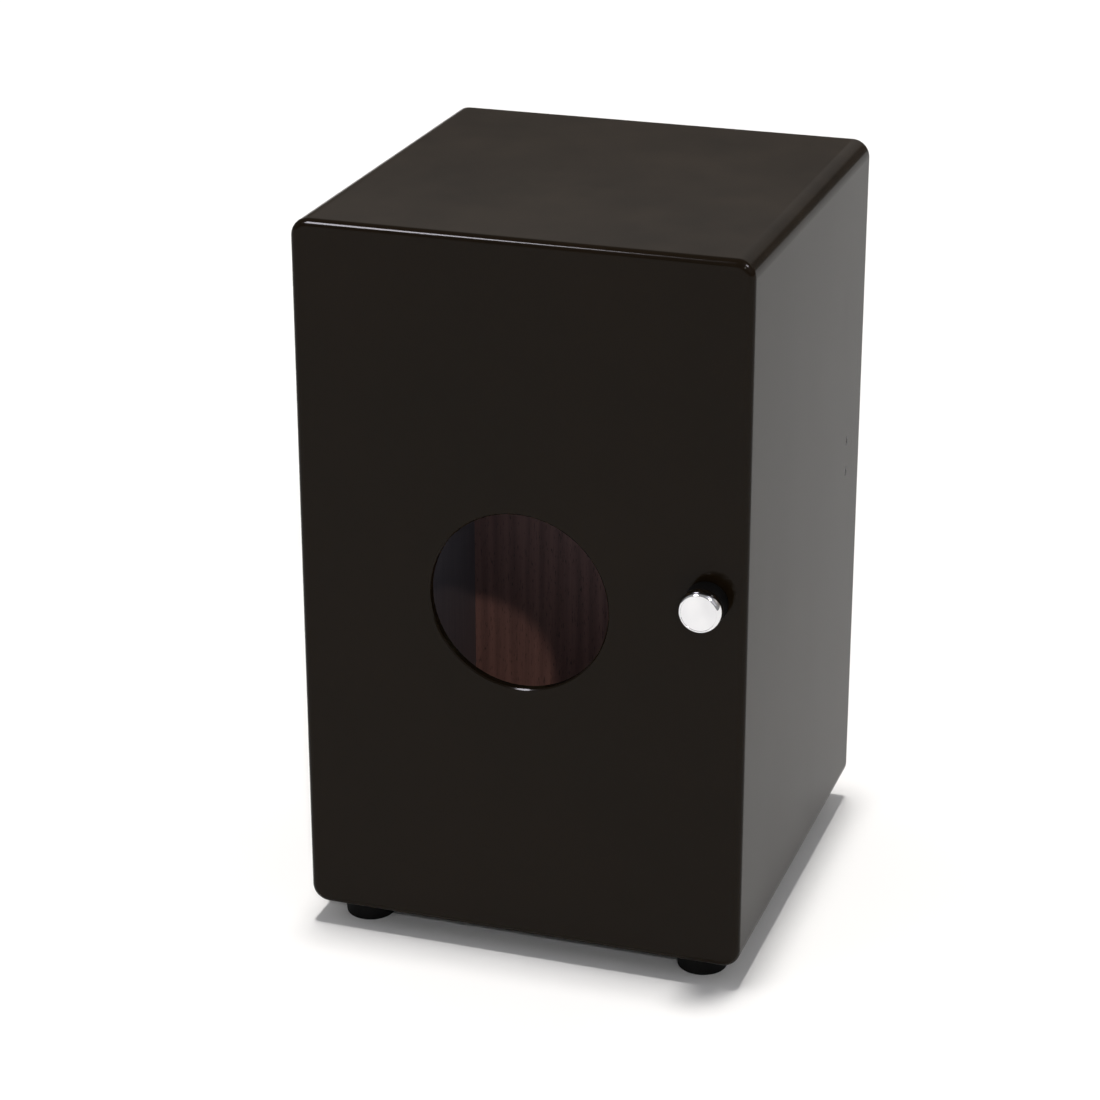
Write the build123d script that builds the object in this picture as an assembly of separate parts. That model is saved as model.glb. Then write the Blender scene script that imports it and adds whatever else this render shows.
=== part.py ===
from build123d import *
import math
import os

os.makedirs("parts", exist_ok=True)

# A cajon in millimetres, +Z up.  The floor is z = 0, the struck front plate
# faces -Y, the back panel with the sound hole and the knob faces +Y.  Pieces
# are drawn with the box centred on the Z axis and moved by ORIGIN_SHIFT_Y when
# written, so that the origin is the middle of the whole footprint, knob included.

# ---- box ----------------------------------------------------------------
BOX_WIDTH = 300.0
BOX_DEPTH = 300.0
BOX_HEIGHT = 480.0
FOOT_HEIGHT = 16.0
PANEL_THICKNESS = 12.0
FRONT_PLATE_THICKNESS = 3.0
BACK_PANEL_THICKNESS = 6.0
LONG_EDGE_RADIUS = 12.0
BACK_RIM_RADIUS = 5.0
FRONT_RIM_RADIUS = 3.0
SOUND_HOLE_DIAMETER = 120.0
SOUND_HOLE_CHAMFER = 0.8
BATTEN_LEG = 15.0
BATTEN_END_GAP = 1.0

# ---- feet ---------------------------------------------------------------
FOOT_TOP_DIAMETER = 36.0
FOOT_BOTTOM_DIAMETER = 33.0
FOOT_SIDE_INSET = 32.0
FOOT_END_INSET = 29.0
FOOT_RECESS_DIAMETER = 14.0
FOOT_RECESS_DEPTH = 8.0
FOOT_WASHER_DIAMETER = 12.0
FOOT_WASHER_THICKNESS = 1.5
FOOT_SCREW_DIAMETER = 4.0
FOOT_SCREW_TOP = 26.0

# ---- screws of the front plate -------------------------------------------
PLATE_SCREW_INSET = 8.0
PLATE_SCREW_LENGTH = 20.0
PLATE_SCREW_DIAMETER = 3.0
PLATE_SCREW_HEAD = 6.0

# ---- fixed rail and its screws --------------------------------------------
RAIL_FRONT = -118.0
RAIL_BACK = -102.0
RAIL_BOTTOM = 256.0
RAIL_TOP = 301.0
RAIL_SCREW_Y = -110.0
RAIL_SCREW_HEIGHTS = (270.0, 292.7)
RAIL_SCREW_LENGTH = 20.0
RAIL_SCREW_DIAMETER = 3.5
RAIL_SCREW_HEAD = 7.0

# ---- adjuster: knob, rod, bushings, collar ---------------------------------
ROD_X = -124.5
ROD_Z = 273.5
ROD_DIAMETER = 6.0
ROD_FRONT = -138.0
ROD_BACK = 161.0
RUNNING_CLEARANCE = 0.05
NUT_THREAD_CLEARANCE = 0.10
KNOB_DIAMETER = 28.0
KNOB_PANEL_GAP = 0.4
KNOB_SPLIT = 162.0
KNOB_FACE = 170.0
KNOB_HUB_FACE = 152.8
KNOB_RECESS_DIAMETER = 19.0
KNOB_SPIGOT_DIAMETER = 24.0
CAP_FACE_THICKNESS = 2.0
CAP_BEVEL = 1.2
BUSHING_DIAMETER = 10.0
BUSHING_FLANGE_DIAMETER = 16.0
BUSHING_FLANGE_THICKNESS = 1.5
BUSHING_INNER_END = 136.5
BUSHING_NUT_FLATS = 14.0
BUSHING_NUT_THICKNESS = 4.0
BUSHING_WASHER_DIAMETER = 18.0
BUSHING_WASHER_THICKNESS = 1.2
COLLAR_DIAMETER = 12.0
COLLAR_LENGTH = 8.0
RAIL_BUSHING_DIAMETER = 8.0

# ---- rocker that carries the snare strips ----------------------------------
PIVOT_Y = -128.0
PIVOT_Z = 302.0
ROCKER_THICKNESS = 16.0
ROCKER_HALF_LENGTH = 131.0
ROCKER_BOTTOM = 263.0
ROCKER_TOP = 318.0
TRUNNION_DIAMETER = 10.0
TRUNNION_Y = -127.0
TRUNNION_LENGTH = 13.0
ROD_SLOT_WIDTH = 7.5
ROD_SLOT_HEIGHT = 11.0
PIVOT_PIN_DIAMETER = 5.0
PIVOT_THREAD_DIAMETER = 4.0
PIVOT_THREAD_LENGTH = 12.0
PIVOT_HEAD_DIAMETER = 8.5
PIVOT_HEAD_THICKNESS = 2.0
BRACKET_INNER_X = 133.0
BRACKET_THICKNESS = 2.0
BRACKET_FLANGE_LENGTH = 20.0

# ---- snare strips ----------------------------------------------------------
BLOCK_THICKNESS = 7.6
BLOCK_HALF_LENGTH = 72.0
BLOCK_BOTTOM = 301.5
BLOCK_TOP = 317.0
STRIP_CENTRE_X = 46.0
STRAND_COUNT = 6
STRAND_PITCH = 6.0
STRAND_DIAMETER = 2.0
STRAND_BOTTOM = 312.6
STRAND_TOP = 409.0
STRIP_PLATE_THICKNESS = 1.4
STRIP_PLATE_WIDTH = 37.0

FLOOR_OF_BOX = FOOT_HEIGHT
TOP_OF_BOX = FOOT_HEIGHT + BOX_HEIGHT
MIDDLE_OF_BOX = FOOT_HEIGHT + BOX_HEIGHT / 2
HALF_WIDTH = BOX_WIDTH / 2
HALF_DEPTH = BOX_DEPTH / 2
INNER_HALF_WIDTH = HALF_WIDTH - PANEL_THICKNESS
PLATE_INNER_Y = -HALF_DEPTH + FRONT_PLATE_THICKNESS
PANEL_INNER_Y = HALF_DEPTH - BACK_PANEL_THICKNESS
ROCKER_FRONT = PIVOT_Y - ROCKER_THICKNESS / 2
ROCKER_BACK = PIVOT_Y + ROCKER_THICKNESS / 2
BLOCK_FRONT = ROCKER_FRONT - BLOCK_THICKNESS
STRIP_PLATE_FRONT = BLOCK_FRONT - STRIP_PLATE_THICKNESS
STRAND_Y = STRIP_PLATE_FRONT - 0.6
ORIGIN_SHIFT_Y = (HALF_DEPTH - KNOB_FACE) / 2


# ---- helpers ---------------------------------------------------------------
def block(x0, x1, y0, y1, z0, z1):
    middle = Pos((x0 + x1) / 2, (y0 + y1) / 2, (z0 + z1) / 2)
    return middle * Box(x1 - x0, y1 - y0, z1 - z0)


def pin_x(y, z, diameter, x0, x1):
    turned = Rot(0, 90, 0) * Cylinder(diameter / 2, abs(x1 - x0))
    return Pos((x0 + x1) / 2, y, z) * turned


def pin_y(x, z, diameter, y0, y1):
    turned = Rot(90, 0, 0) * Cylinder(diameter / 2, abs(y1 - y0))
    return Pos(x, (y0 + y1) / 2, z) * turned


def pin_z(x, y, diameter, z0, z1):
    return Pos(x, y, (z0 + z1) / 2) * Cylinder(diameter / 2, abs(z1 - z0))


def facing(point, outward):
    """Local +Z points outward, local origin at the point."""
    return Plane(origin=point, z_dir=outward).location


def countersunk_body(length, diameter, head):
    head_height = (head - diameter) / 2
    tip = diameter
    cone = Pos(0, 0, -head_height / 2) * Cone(diameter / 2, head / 2, head_height)
    straight = length - head_height - tip
    shank = Pos(0, 0, -head_height - straight / 2) * Cylinder(diameter / 2, straight)
    point = Pos(0, 0, -length + tip / 2) * Cone(diameter / 8, diameter / 2, tip)
    return cone + shank + point


def cross_recess(head):
    arm = head * 0.55
    width = head * 0.15
    depth = head * 0.22
    one = Pos(0, 0, -depth / 2) * Box(arm, width, depth)
    other = Pos(0, 0, -depth / 2) * Box(width, arm, depth)
    return one + other


def countersunk_screw(place, length, diameter, head):
    return place * (countersunk_body(length, diameter, head) - cross_recess(head))


def countersunk_hole(place, length, diameter, head):
    return place * countersunk_body(length, diameter, head)


def together(solids):
    return Compound(children=list(solids))


def save(shape, node):
    solids = (Pos(0, ORIGIN_SHIFT_Y, 0) * shape).solids()
    if len(solids) == 1:
        export_step(solids[0], f"parts/{node}.step")
    else:
        export_step(Compound(children=solids), f"parts/{node}.step")


# ---- box -------------------------------------------------------------------
def outer_body():
    profile = Plane.XZ * RectangleRounded(BOX_WIDTH, BOX_HEIGHT, LONG_EDGE_RADIUS)
    body = Pos(0, 0, MIDDLE_OF_BOX) * extrude(profile, amount=HALF_DEPTH, both=True)
    back_edges = body.faces().sort_by(Axis.Y)[-1].edges()
    body = fillet(back_edges, BACK_RIM_RADIUS)
    front_edges = body.faces().sort_by(Axis.Y)[0].edges()
    return fillet(front_edges, FRONT_RIM_RADIUS)


def plate_screw_places():
    top = TOP_OF_BOX - PLATE_SCREW_INSET
    bottom = FLOOR_OF_BOX + PLATE_SCREW_INSET
    side = HALF_WIDTH - PLATE_SCREW_INSET
    spots = [(x, z) for z in (top, bottom) for x in (-120.0, -60.0, 0.0, 60.0, 120.0)]
    spots += [(x, z) for x in (-side, side) for z in (85.0, 170.0, 342.0, 427.0)]
    return [facing((x, -HALF_DEPTH, z), (0, -1, 0)) for x, z in spots]


def plate_screw_holes():
    size = (PLATE_SCREW_LENGTH, PLATE_SCREW_DIAMETER, PLATE_SCREW_HEAD)
    return together(countersunk_hole(place, *size) for place in plate_screw_places())


def plate_screws():
    size = (PLATE_SCREW_LENGTH, PLATE_SCREW_DIAMETER, PLATE_SCREW_HEAD)
    return together(countersunk_screw(place, *size) for place in plate_screw_places())


def rail_screw_places(side):
    x = side * HALF_WIDTH
    return [facing((x, RAIL_SCREW_Y, z), (side, 0, 0)) for z in RAIL_SCREW_HEIGHTS]


def rail_screw_holes(side):
    size = (RAIL_SCREW_LENGTH, RAIL_SCREW_DIAMETER, RAIL_SCREW_HEAD)
    return together(countersunk_hole(place, *size) for place in rail_screw_places(side))


def rail_screws(side):
    size = (RAIL_SCREW_LENGTH, RAIL_SCREW_DIAMETER, RAIL_SCREW_HEAD)
    return together(countersunk_screw(place, *size) for place in rail_screw_places(side))


def frame_slab(outer, x0, x1, z0, z1):
    return outer & block(x0, x1, PLATE_INNER_Y, PANEL_INNER_Y, z0, z1)


def cut_all(shape, tools):
    for tool in tools.solids():
        shape = shape - tool
    return shape


def seat_panel(outer, holes):
    low = TOP_OF_BOX - PANEL_THICKNESS
    slab = frame_slab(outer, -HALF_WIDTH, HALF_WIDTH, low, TOP_OF_BOX)
    return cut_all(slab, holes)


def base_panel(outer, holes):
    high = FLOOR_OF_BOX + PANEL_THICKNESS
    slab = frame_slab(outer, -HALF_WIDTH, HALF_WIDTH, FLOOR_OF_BOX, high)
    slab = cut_all(slab, holes)
    for x, y in foot_centres():
        slab -= pin_z(x, y, FOOT_SCREW_DIAMETER, FLOOR_OF_BOX, FOOT_SCREW_TOP)
    return slab


def side_panel(outer, holes, side):
    low = FLOOR_OF_BOX + PANEL_THICKNESS
    high = TOP_OF_BOX - PANEL_THICKNESS
    xs = sorted((side * INNER_HALF_WIDTH, side * HALF_WIDTH))
    slab = frame_slab(outer, xs[0], xs[1], low, high)
    slab = cut_all(slab, holes)
    return cut_all(slab, rail_screw_holes(side))


def front_plate(outer, holes):
    low = FLOOR_OF_BOX
    sheet = block(-HALF_WIDTH, HALF_WIDTH, -HALF_DEPTH, PLATE_INNER_Y, low, TOP_OF_BOX)
    return cut_all(outer & sheet, holes)


def back_panel(outer):
    low = FLOOR_OF_BOX
    sheet = block(-HALF_WIDTH, HALF_WIDTH, PANEL_INNER_Y, HALF_DEPTH, low, TOP_OF_BOX)
    panel = outer & sheet
    panel -= pin_y(0, MIDDLE_OF_BOX, SOUND_HOLE_DIAMETER, PANEL_INNER_Y - 1, HALF_DEPTH + 1)
    rim = [
        edge
        for edge in panel.faces().sort_by(Axis.Y)[-1].edges()
        if abs(edge.center().X) < 100 and abs(edge.center().Z - MIDDLE_OF_BOX) < 100
        and edge.geom_type == GeomType.CIRCLE
        and abs(edge.radius - SOUND_HOLE_DIAMETER / 2) < 0.01
    ]
    panel = chamfer(rim, SOUND_HOLE_CHAMFER)
    return panel - pin_y(ROD_X, ROD_Z, BUSHING_DIAMETER, PANEL_INNER_Y - 1, HALF_DEPTH + 1)


def glue_batten(side, low):
    x = side * INNER_HALF_WIDTH
    z = FLOOR_OF_BOX + PANEL_THICKNESS if low else TOP_OF_BOX - PANEL_THICKNESS
    rise = BATTEN_LEG if low else -BATTEN_LEG
    corner = Polyline((x, z), (x - side * BATTEN_LEG, z), (x, z + rise), close=True)
    face = make_face(Plane.XZ * corner)
    length = PANEL_INNER_Y - PLATE_INNER_Y - 2 * BATTEN_END_GAP
    middle = (PANEL_INNER_Y + PLATE_INNER_Y) / 2
    return Pos(0, middle, 0) * extrude(face, amount=length / 2, both=True)


# ---- feet ------------------------------------------------------------------
def foot_centres():
    x = HALF_WIDTH - FOOT_SIDE_INSET
    y = HALF_DEPTH - FOOT_END_INSET
    return [(sx * x, sy * y) for sx in (-1, 1) for sy in (-1, 1)]


def foot(x, y):
    low = FOOT_BOTTOM_DIAMETER / 2
    high = FOOT_TOP_DIAMETER / 2
    body = Pos(0, 0, FOOT_HEIGHT / 2) * Cone(low, high, FOOT_HEIGHT)
    body = fillet(body.edges().sort_by(Axis.Z)[0], 1.5)
    body -= pin_z(0, 0, FOOT_RECESS_DIAMETER, -1, FOOT_RECESS_DEPTH)
    body -= pin_z(0, 0, FOOT_SCREW_DIAMETER, FOOT_RECESS_DEPTH - 1, FOOT_HEIGHT + 1)
    return Pos(x, y, 0) * body


def foot_washer(x, y):
    low = FOOT_RECESS_DEPTH - FOOT_WASHER_THICKNESS
    ring = pin_z(x, y, FOOT_WASHER_DIAMETER, low, FOOT_RECESS_DEPTH)
    return ring - pin_z(x, y, FOOT_SCREW_DIAMETER, low - 1, FOOT_RECESS_DEPTH + 1)


def foot_screw(x, y):
    seat = FOOT_RECESS_DEPTH - FOOT_WASHER_THICKNESS
    head = pin_z(x, y, 8.0, seat - 2.6, seat)
    head = fillet(head.edges().sort_by(Axis.Z)[0], 1.2)
    shank = pin_z(x, y, FOOT_SCREW_DIAMETER, seat - 0.5, FOOT_SCREW_TOP)
    recess = Pos(x, y, seat - 2.6) * (Box(4.4, 1.2, 3.2) + Box(1.2, 4.4, 3.2))
    return head + shank - recess


# ---- fixed rail, brackets and felt -------------------------------------------
def snare_rail():
    rail = block(
        -INNER_HALF_WIDTH, INNER_HALF_WIDTH, RAIL_FRONT, RAIL_BACK, RAIL_BOTTOM, RAIL_TOP
    )
    rail -= pin_y(ROD_X, ROD_Z, RAIL_BUSHING_DIAMETER, RAIL_FRONT - 1, RAIL_BACK + 1)
    for side in (-1, 1):
        rail = cut_all(rail, rail_screw_holes(side))
    return cut_all(rail, bracket_screw_holes())


def rail_bushing():
    sleeve = pin_y(ROD_X, ROD_Z, RAIL_BUSHING_DIAMETER, RAIL_FRONT, RAIL_BACK)
    bore = ROD_DIAMETER + 2 * RUNNING_CLEARANCE
    return sleeve - pin_y(ROD_X, ROD_Z, bore, RAIL_FRONT - 1, RAIL_BACK + 1)


def felt_stop_strip():
    low = ROCKER_BOTTOM + 2.0
    return block(-90.0, 90.0, RAIL_FRONT - 1.5, RAIL_FRONT, low, low + 10.0)


def bracket_screw_places():
    top = RAIL_TOP + BRACKET_THICKNESS
    middle = (RAIL_FRONT + RAIL_BACK) / 2
    offset = BRACKET_INNER_X - 13.0
    spots = [(s * (offset + d), middle) for s in (-1, 1) for d in (0.0, 7.5)]
    return [facing((x, y, top), (0, 0, 1)) for x, y in spots]


def bracket_screw_holes():
    return together(countersunk_hole(p, 10.0, 2.5, 5.0) for p in bracket_screw_places())


def bracket_screws():
    return together(countersunk_screw(p, 10.0, 2.5, 5.0) for p in bracket_screw_places())


def pivot_bracket(side):
    inner = BRACKET_INNER_X
    outer = inner + BRACKET_THICKNESS
    top = RAIL_TOP + 11.0
    cheek = block(inner, outer, PIVOT_Y - 7.5, RAIL_FRONT - 0.5, PIVOT_Z - 7.5, top)
    cheek += block(inner, outer, RAIL_FRONT - 1.0, RAIL_BACK, RAIL_TOP, top)
    front_edges = cheek.edges().filter_by(Axis.X).sort_by(Axis.Y)[:2]
    cheek = fillet(front_edges, 6.0)
    low = RAIL_TOP + BRACKET_THICKNESS
    flange = block(
        outer - BRACKET_FLANGE_LENGTH, outer, RAIL_FRONT, RAIL_BACK, RAIL_TOP, low
    )
    bore = PIVOT_PIN_DIAMETER + 2 * RUNNING_CLEARANCE
    shape = cheek + flange
    shape -= pin_x(PIVOT_Y, PIVOT_Z, bore, inner - 1, outer + 1)
    if side < 0:
        shape = mirror(shape, about=Plane.YZ)
    return cut_all(shape, bracket_screw_holes())


# ---- knob, rod and bushing ------------------------------------------------------
def rod_bushing():
    flange_end = HALF_DEPTH + BUSHING_FLANGE_THICKNESS
    body = pin_y(ROD_X, ROD_Z, BUSHING_DIAMETER, BUSHING_INNER_END, HALF_DEPTH)
    body += pin_y(ROD_X, ROD_Z, BUSHING_FLANGE_DIAMETER, HALF_DEPTH, flange_end)
    bore = ROD_DIAMETER + 2 * RUNNING_CLEARANCE
    return body - pin_y(ROD_X, ROD_Z, bore, BUSHING_INNER_END - 1, flange_end + 1)


def bushing_washer():
    low = PANEL_INNER_Y - BUSHING_WASHER_THICKNESS
    ring = pin_y(ROD_X, ROD_Z, BUSHING_WASHER_DIAMETER, low, PANEL_INNER_Y)
    return ring - pin_y(ROD_X, ROD_Z, BUSHING_DIAMETER, low - 1, PANEL_INNER_Y + 1)


def bushing_nut():
    high = PANEL_INNER_Y - BUSHING_WASHER_THICKNESS
    low = high - BUSHING_NUT_THICKNESS
    hexagon = RegularPolygon(BUSHING_NUT_FLATS / 2, 6, major_radius=False)
    prism = extrude(Plane.XZ * hexagon, amount=BUSHING_NUT_THICKNESS / 2, both=True)
    prism = Pos(ROD_X, (low + high) / 2, ROD_Z) * prism
    return prism - pin_y(ROD_X, ROD_Z, BUSHING_DIAMETER, low - 1, high + 1)


def adjuster_rod():
    rod = pin_y(ROD_X, ROD_Z, ROD_DIAMETER, ROD_FRONT, ROD_BACK)
    return chamfer(rod.edges().sort_by(Axis.Y)[0], 0.8)


def grub_screw(diameter, length, socket):
    """Along local +Z from 0 to length, socket at the far end."""
    body = Pos(0, 0, length / 2) * Cylinder(diameter / 2, length)
    depth = length * 0.45
    hexagon = RegularPolygon(socket / 2, 6, major_radius=False)
    return body - Pos(0, 0, length - depth) * extrude(hexagon, amount=depth)


def knob_grub_place():
    return facing((ROD_X, 157.0, ROD_Z - ROD_DIAMETER / 2), (0, 0, -1))


def knob_grub_screw():
    return knob_grub_place() * grub_screw(4.0, 8.0, 2.0)


def knob_body():
    low = HALF_DEPTH + KNOB_PANEL_GAP
    cap_inside = KNOB_FACE - CAP_FACE_THICKNESS
    body = pin_y(ROD_X, ROD_Z, KNOB_DIAMETER, low, KNOB_SPLIT)
    body += pin_y(ROD_X, ROD_Z, KNOB_SPIGOT_DIAMETER, KNOB_SPLIT, cap_inside)
    body -= pin_y(ROD_X, ROD_Z, KNOB_RECESS_DIAMETER, low - 1, KNOB_HUB_FACE)
    body -= pin_y(ROD_X, ROD_Z, ROD_DIAMETER, low - 1, ROD_BACK)
    return body - knob_grub_place() * Pos(0, 0, 10) * Cylinder(2.0, 20.0)


def knob_cap():
    inside = KNOB_FACE - CAP_FACE_THICKNESS
    cap = pin_y(ROD_X, ROD_Z, KNOB_DIAMETER, KNOB_SPLIT, KNOB_FACE)
    cap = chamfer(cap.edges().sort_by(Axis.Y)[-1], CAP_BEVEL)
    return cap - pin_y(ROD_X, ROD_Z, KNOB_SPIGOT_DIAMETER, KNOB_SPLIT - 1, inside)


def thrust_washer():
    low = KNOB_HUB_FACE - 1.0
    ring = pin_y(ROD_X, ROD_Z, 14.0, low, KNOB_HUB_FACE)
    return ring - pin_y(ROD_X, ROD_Z, 6.4, low - 1, KNOB_HUB_FACE + 1)


def collar_middle():
    return BUSHING_INNER_END - 0.4 - COLLAR_LENGTH / 2


def collar_grub_place():
    return facing((ROD_X, collar_middle(), ROD_Z - ROD_DIAMETER / 2), (0, 0, -1))


def rod_collar():
    high = BUSHING_INNER_END - 0.4
    low = high - COLLAR_LENGTH
    ring = pin_y(ROD_X, ROD_Z, COLLAR_DIAMETER, low, high)
    ring -= pin_y(ROD_X, ROD_Z, ROD_DIAMETER, low - 1, high + 1)
    return ring - collar_grub_place() * Pos(0, 0, 5) * Cylinder(1.5, 10.0)


def collar_grub_screw():
    return collar_grub_place() * grub_screw(3.0, 3.0, 1.5)


# ---- rocker ---------------------------------------------------------------------
def rod_slot():
    centre = Plane.XZ * SlotOverall(ROD_SLOT_HEIGHT, ROD_SLOT_WIDTH, rotation=90)
    cutter = extrude(centre, amount=ROCKER_THICKNESS, both=True)
    return Pos(ROD_X, PIVOT_Y, ROD_Z) * cutter


def rocker_bar():
    end = ROCKER_HALF_LENGTH
    bar = block(-end, end, ROCKER_FRONT, ROCKER_BACK, ROCKER_BOTTOM, ROCKER_TOP)
    bore = TRUNNION_DIAMETER + 2 * RUNNING_CLEARANCE
    bar -= pin_x(TRUNNION_Y, ROD_Z, bore, -end - 1, -end + TRUNNION_LENGTH + 0.3)
    bar -= rod_slot()
    for side in (-1, 1):
        depth = side * (end - PIVOT_THREAD_LENGTH)
        bar -= pin_x(PIVOT_Y, PIVOT_Z, PIVOT_THREAD_DIAMETER, side * (end + 1), depth)
    return cut_all(bar, snare_screw_holes())


def trunnion_nut():
    end = -ROCKER_HALF_LENGTH
    barrel = pin_x(TRUNNION_Y, ROD_Z, TRUNNION_DIAMETER, end, end + TRUNNION_LENGTH)
    bore = ROD_DIAMETER + 2 * NUT_THREAD_CLEARANCE
    barrel -= pin_y(ROD_X, ROD_Z, bore, TRUNNION_Y - 10, TRUNNION_Y + 10)
    low = ROD_Z - 0.5
    return barrel - block(end - 1, end + 1, TRUNNION_Y - 10, TRUNNION_Y + 10, low, low + 1)


def pivot_pin(side):
    end = ROCKER_HALF_LENGTH
    shoulder_end = BRACKET_INNER_X + BRACKET_THICKNESS + 0.4
    head_end = shoulder_end + PIVOT_HEAD_THICKNESS
    thread_start = end - PIVOT_THREAD_LENGTH
    pin = pin_x(PIVOT_Y, PIVOT_Z, PIVOT_THREAD_DIAMETER, thread_start, end)
    pin += pin_x(PIVOT_Y, PIVOT_Z, PIVOT_PIN_DIAMETER, end, shoulder_end)
    pin += pin_x(PIVOT_Y, PIVOT_Z, PIVOT_HEAD_DIAMETER, shoulder_end, head_end)
    hexagon = Plane.YZ * RegularPolygon(1.5, 6, major_radius=False)
    pin -= Pos(head_end - 1.4, PIVOT_Y, PIVOT_Z) * extrude(hexagon, amount=2.0)
    if side < 0:
        pin = mirror(pin, about=Plane.YZ)
    return pin


def pivot_washer(side):
    near = side * ROCKER_HALF_LENGTH
    far = side * (BRACKET_INNER_X - 0.4)
    ring = pin_x(PIVOT_Y, PIVOT_Z, 10.0, near, far)
    bore = PIVOT_PIN_DIAMETER + 0.4
    return ring - pin_x(PIVOT_Y, PIVOT_Z, bore, near - side, far + side)


# ---- snare strips ---------------------------------------------------------------
def snare_screw_places():
    z = (BLOCK_BOTTOM + BLOCK_TOP) / 2
    spots = [s * STRIP_CENTRE_X + d for s in (-1, 1) for d in (-15.0, 15.0)]
    return [facing((x, STRIP_PLATE_FRONT, z), (0, -1, 0)) for x in spots]


def snare_screw_holes():
    return together(countersunk_hole(p, 18.0, 2.5, 4.6) for p in snare_screw_places())


def snare_screws():
    return together(countersunk_screw(p, 18.0, 2.5, 4.6) for p in snare_screw_places())


def snare_block():
    bar = block(
        -BLOCK_HALF_LENGTH, BLOCK_HALF_LENGTH, BLOCK_FRONT, ROCKER_FRONT, BLOCK_BOTTOM,
        BLOCK_TOP,
    )
    return cut_all(bar, snare_screw_holes())


def strand_positions(side):
    first = side * STRIP_CENTRE_X - STRAND_PITCH * (STRAND_COUNT - 1) / 2
    return [first + STRAND_PITCH * i for i in range(STRAND_COUNT)]


def snare_strip(side):
    x0 = side * STRIP_CENTRE_X - STRIP_PLATE_WIDTH / 2
    x1 = x0 + STRIP_PLATE_WIDTH
    low = BLOCK_BOTTOM + 1.5
    high = BLOCK_TOP - 1.5
    strip = block(x0, x1, STRIP_PLATE_FRONT, BLOCK_FRONT, low, high)
    tip = STRAND_TOP - 7
    strip += block(x0 + 1, x1 - 1, STRIP_PLATE_FRONT, BLOCK_FRONT, tip, STRAND_TOP)
    strip = cut_all(strip, snare_screw_holes())
    for x in strand_positions(side):
        strip += pin_z(x, STRAND_Y, STRAND_DIAMETER, STRAND_BOTTOM, STRAND_TOP - 1)
    return strip


# ---- write every piece ------------------------------------------------------------
def write_box():
    outer = outer_body()
    holes = plate_screw_holes()
    save(seat_panel(outer, holes), "seat_panel")
    save(base_panel(outer, holes), "base_panel")
    save(side_panel(outer, holes, -1), "side_panel_left")
    save(side_panel(outer, holes, 1), "side_panel_right")
    save(front_plate(outer, holes), "front_plate")
    save(back_panel(outer), "back_panel")
    save(plate_screws(), "front_plate_screws")
    save(glue_batten(-1, False), "glue_batten_top_left")
    save(glue_batten(1, False), "glue_batten_top_right")
    save(glue_batten(-1, True), "glue_batten_bottom_left")
    save(glue_batten(1, True), "glue_batten_bottom_right")


def write_feet():
    centres = foot_centres()
    names = ("foot_front_left", "foot_back_left", "foot_front_right", "foot_back_right")
    for name, (x, y) in zip(names, centres):
        save(foot(x, y), name)
    save(together(foot_washer(x, y) for x, y in centres), "foot_washers")
    save(together(foot_screw(x, y) for x, y in centres), "foot_screws")


def write_rail():
    save(snare_rail(), "snare_rail")
    save(rail_screws(-1), "rail_screws_left")
    save(rail_screws(1), "rail_screws_right")
    save(rail_bushing(), "rail_bushing")
    save(felt_stop_strip(), "felt_stop_strip")
    save(pivot_bracket(-1), "pivot_bracket_left")
    save(pivot_bracket(1), "pivot_bracket_right")
    save(bracket_screws(), "bracket_screws")


def write_adjuster():
    save(rod_bushing(), "rod_bushing")
    save(bushing_washer(), "bushing_washer")
    save(bushing_nut(), "bushing_nut")
    save(adjuster_rod(), "adjuster_rod")
    save(knob_body(), "knob_body")
    save(knob_cap(), "knob_cap")
    save(knob_grub_screw(), "knob_grub_screw")
    save(thrust_washer(), "thrust_washer")
    save(rod_collar(), "rod_collar")
    save(collar_grub_screw(), "collar_grub_screw")


def write_rocker():
    save(rocker_bar(), "rocker_bar")
    save(trunnion_nut(), "trunnion_nut")
    save(pivot_pin(-1), "pivot_pin_left")
    save(pivot_pin(1), "pivot_pin_right")
    save(together(pivot_washer(side) for side in (-1, 1)), "pivot_washers")
    save(snare_block(), "snare_block")
    save(snare_strip(-1), "snare_strip_left")
    save(snare_strip(1), "snare_strip_right")
    save(snare_screws(), "snare_screws")


write_box()
write_feet()
write_rail()
write_adjuster()
write_rocker()
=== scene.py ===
"""Looks of the cajon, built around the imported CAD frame.  Metres, +Z up."""

import math
import random

import bmesh
import bpy
from mathutils import Matrix, Vector, noise


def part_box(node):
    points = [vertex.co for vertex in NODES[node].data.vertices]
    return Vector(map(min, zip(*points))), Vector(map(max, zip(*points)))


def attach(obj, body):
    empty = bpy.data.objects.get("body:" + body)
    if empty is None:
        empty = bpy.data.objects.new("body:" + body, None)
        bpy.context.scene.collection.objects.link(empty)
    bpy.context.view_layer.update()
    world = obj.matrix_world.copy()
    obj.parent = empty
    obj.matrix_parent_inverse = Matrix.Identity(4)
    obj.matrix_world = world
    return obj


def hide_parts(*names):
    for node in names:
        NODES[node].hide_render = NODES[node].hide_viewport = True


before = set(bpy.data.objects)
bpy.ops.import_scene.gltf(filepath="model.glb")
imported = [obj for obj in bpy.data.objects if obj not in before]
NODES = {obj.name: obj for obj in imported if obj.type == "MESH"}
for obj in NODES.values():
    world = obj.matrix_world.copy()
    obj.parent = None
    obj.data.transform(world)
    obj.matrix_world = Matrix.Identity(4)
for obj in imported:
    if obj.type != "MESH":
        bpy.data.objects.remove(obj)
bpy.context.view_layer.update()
MM = 0.001
X_AXIS, Y_AXIS, Z_AXIS = 0, 1, 2

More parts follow.
